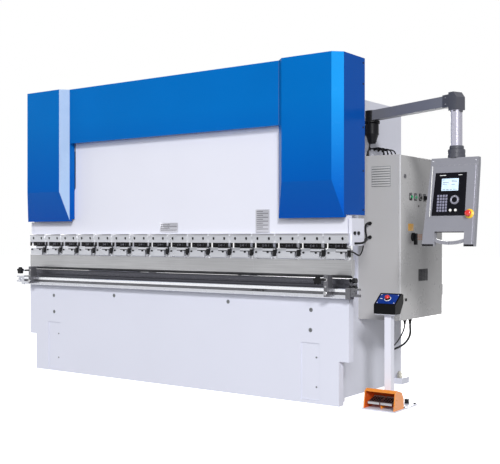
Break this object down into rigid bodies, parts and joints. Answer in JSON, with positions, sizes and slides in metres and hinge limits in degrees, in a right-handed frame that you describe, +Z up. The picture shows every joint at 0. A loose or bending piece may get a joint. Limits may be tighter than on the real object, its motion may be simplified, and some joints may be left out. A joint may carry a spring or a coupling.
{
  "type": "press brake",
  "caption": "Hydraulic press brake: a wide ram with a row of punch clamps over a long die and bed, blue cylinder covers, control pendant, cabinet and foot station",
  "frame": {"origin": "On the floor at the centre of the four anchor holes in the feet.", "axes": "+X along the bed to the operator's right, +Y from the operator to the back, +Z up."},
  "size_m": [4.15, 1.463, 2.38],
  "materials": {
    "frame_white": "semi-gloss",
    "cover_blue": "semi-gloss",
    "tool_steel": "ground",
    "clamp_steel": "ground",
    "bright_steel": "ground",
    "bolt_black": "blackened",
    "cast_grey": "painted",
    "valve_steel": "zinc plated",
    "aluminium": "anodised",
    "bracket_black": "satin",
    "cabinet_grey": "fine texture",
    "relay_plastic": "matte",
    "button_green": "gloss",
    "button_black": "matte",
    "button_white": "gloss",
    "button_red": "gloss",
    "lock_chrome": "polished",
    "arm_grey": "satin",
    "pendant_white": "satin",
    "station_blue": "satin",
    "hood_orange": "gloss",
    "cable_rubber": "matte"
  },
  "bodies": {
    "frame": {"access_covers": "frame_white", "arm_base": "bracket_black", "beam_cover": "cover_blue", "bed_plate": "frame_white", "bottom_die": "tool_steel", "cabinet_body": "cabinet_grey", "cabinet_cables": "cable_rubber", "cable_glands": "bolt_black", "cylinder_barrels": "cast_grey", "cylinder_covers": "cover_blue", "die_base": "tool_steel", "frame_bolts": "bolt_black", "gauge_rails": "frame_white", "levelling_bolts": "bolt_black", "oil_tank": "frame_white", "pedal_hood": "hood_orange", "pump_motor": "cast_grey", "rail_brackets": "bracket_black", "ram_cable_lower": "cable_rubber", "ram_cable_upper": "cable_rubber", "ram_guides": "frame_white", "side_frames": "frame_white", "station_box": "station_blue", "station_stand": "pendant_white", "support_rail": "aluminium", "switchgear": "relay_plastic", "torsion_bearings": "cast_grey", "valve_and_pipes": "valve_steel"},
    "ram": {"ram_plate": "frame_white", "clamp_bodies": "clamp_steel", "clamp_jaws": "clamp_steel", "clamp_wedges": "bright_steel", "clamp_bolts": "bolt_black", "punch": "tool_steel", "piston_rods": "bright_steel", "torsion_links": "bolt_black"},
    "torsion": {"torsion_shaft": "bright_steel"},
    "gauge": {"gauge_beam": "aluminium"},
    "finger_left": {"gauge_finger_left": "bright_steel"},
    "finger_right": {"gauge_finger_right": "bright_steel"},
    "door": {"cabinet_door": "cabinet_grey"},
    "lock": {"door_lock": "lock_chrome"},
    "switch": {"main_switch": "button_black"},
    "start": {"start_button": "button_green"},
    "stop": {"stop_button": "button_black"},
    "selector": {"mode_selector": "button_black"},
    "arm": {"swing_arm": "arm_grey"},
    "pendant": {"pendant_tube": "arm_grey", "pendant_box": "pendant_white"},
    "pendant_stop": {"pendant_estop": "button_red"},
    "dial": {"pendant_dial": "button_black"},
    "key_left": {"pendant_key_left": "button_white"},
    "key_right": {"pendant_key_right": "button_white"},
    "treadle_left": {"pedal_left": "bright_steel"},
    "treadle_right": {"pedal_right": "bright_steel"},
    "foot_stop": {"station_estop": "button_red"},
    "support_left": {"carriage_left": "bracket_black"},
    "support_right": {"carriage_right": "bracket_black"},
    "star_left": {"knob_left": "button_black"},
    "star_right": {"knob_right": "button_black"}
  },
  "joints": [
    {"name": "ram_slide", "type": "slide", "parent": "frame", "child": "ram", "axis": [0, 0, 1], "range_m": [0, 0.12], "deforming": ["ram_cable_upper", "ram_cable_lower"]},
    {"name": "torsion_turn", "type": "hinge", "parent": "frame", "child": "torsion", "pos_m": [0, -0.305, 1.64], "axis": [-1, 0, 0], "range_deg": [0, 50.85]},
    {"name": "gauge_slide", "type": "slide", "parent": "frame", "child": "gauge", "axis": [0, 1, 0], "range_m": [-0.1, 0.4]},
    {"name": "finger_left_slide", "type": "slide", "parent": "gauge", "child": "finger_left", "axis": [1, 0, 0], "range_m": [-0.6, 0.4]},
    {"name": "finger_right_slide", "type": "slide", "parent": "gauge", "child": "finger_right", "axis": [1, 0, 0], "range_m": [-0.4, 0.6]},
    {"name": "door_swing", "type": "hinge", "parent": "frame", "child": "door", "pos_m": [1.716, 0.598, 1.1], "axis": [0, 0, 1], "range_deg": [0, 110]},
    {"name": "lock_turn", "type": "hinge", "parent": "door", "child": "lock", "pos_m": [1.7245, -0.06, 1.578], "axis": [1, 0, 0], "range_deg": [0, 90]},
    {"name": "switch_turn", "type": "hinge", "parent": "door", "child": "switch", "pos_m": [1.7245, 0.072, 1.144], "axis": [1, 0, 0], "range_deg": [0, 90]},
    {"name": "start_press", "type": "slide", "parent": "door", "child": "start", "axis": [-1, 0, 0], "range_m": [0, 0.004], "stiffness_N_per_m": 500},
    {"name": "stop_press", "type": "slide", "parent": "door", "child": "stop", "axis": [-1, 0, 0], "range_m": [0, 0.004], "stiffness_N_per_m": 500},
    {"name": "selector_turn", "type": "hinge", "parent": "door", "child": "selector", "pos_m": [1.7245, 0.273, 1.432], "axis": [1, 0, 0], "range_deg": [-45, 45]},
    {"name": "arm_swivel", "type": "hinge", "parent": "frame", "child": "arm", "pos_m": [1.48, -0.09, 2], "axis": [0, 0, 1], "range_deg": [-35, 15]},
    {"name": "pendant_swivel", "type": "hinge", "parent": "arm", "child": "pendant", "pos_m": [2.275, -0.44, 1.956], "axis": [0, 0, 1], "range_deg": [-45, 45]},
    {"name": "pendant_stop_press", "type": "slide", "parent": "pendant", "child": "pendant_stop", "axis": [0, 0.989, -0.1478], "range_m": [0, 0.006]},
    {"name": "dial_turn", "type": "hinge", "parent": "pendant", "child": "dial", "pos_m": [2.297, -0.51892, 1.378], "axis": [0, -0.989, 0.1478], "range_deg": [-150, 150]},
    {"name": "key_left_press", "type": "slide", "parent": "pendant", "child": "key_left", "axis": [0, 0.989, -0.1478], "range_m": [0, 0.004], "stiffness_N_per_m": 500},
    {"name": "key_right_press", "type": "slide", "parent": "pendant", "child": "key_right", "axis": [0, 0.989, -0.1478], "range_m": [0, 0.004], "stiffness_N_per_m": 500},
    {"name": "treadle_left_press", "type": "hinge", "parent": "frame", "child": "treadle_left", "pos_m": [1.757, -0.495, 0.074], "axis": [1, 0, 0], "range_deg": [0, 15], "stiffness_Nm_per_rad": 6, "springref_deg": -17.19},
    {"name": "treadle_right_press", "type": "hinge", "parent": "frame", "child": "treadle_right", "pos_m": [1.849, -0.495, 0.074], "axis": [1, 0, 0], "range_deg": [0, 15], "stiffness_Nm_per_rad": 6, "springref_deg": -17.19},
    {"name": "foot_stop_press", "type": "slide", "parent": "frame", "child": "foot_stop", "axis": [0, 0.5843, -0.8115], "range_m": [0, 0.006]},
    {"name": "support_left_slide", "type": "slide", "parent": "frame", "child": "support_left", "axis": [1, 0, 0], "range_m": [0, 1.2]},
    {"name": "support_right_slide", "type": "slide", "parent": "frame", "child": "support_right", "axis": [1, 0, 0], "range_m": [-1.2, 0]},
    {"name": "star_left_turn", "type": "hinge", "parent": "support_left", "child": "star_left", "pos_m": [-1.48, -0.785, 0.858], "axis": [0, -1, 0], "continuous": true},
    {"name": "star_right_turn", "type": "hinge", "parent": "support_right", "child": "star_right", "pos_m": [1.48, -0.785, 0.858], "axis": [0, -1, 0], "continuous": true}
  ],
  "couplings": [
    {"joint": "torsion_turn", "follows": "ram_slide", "rad_per_m": 7.3819}
  ]
}
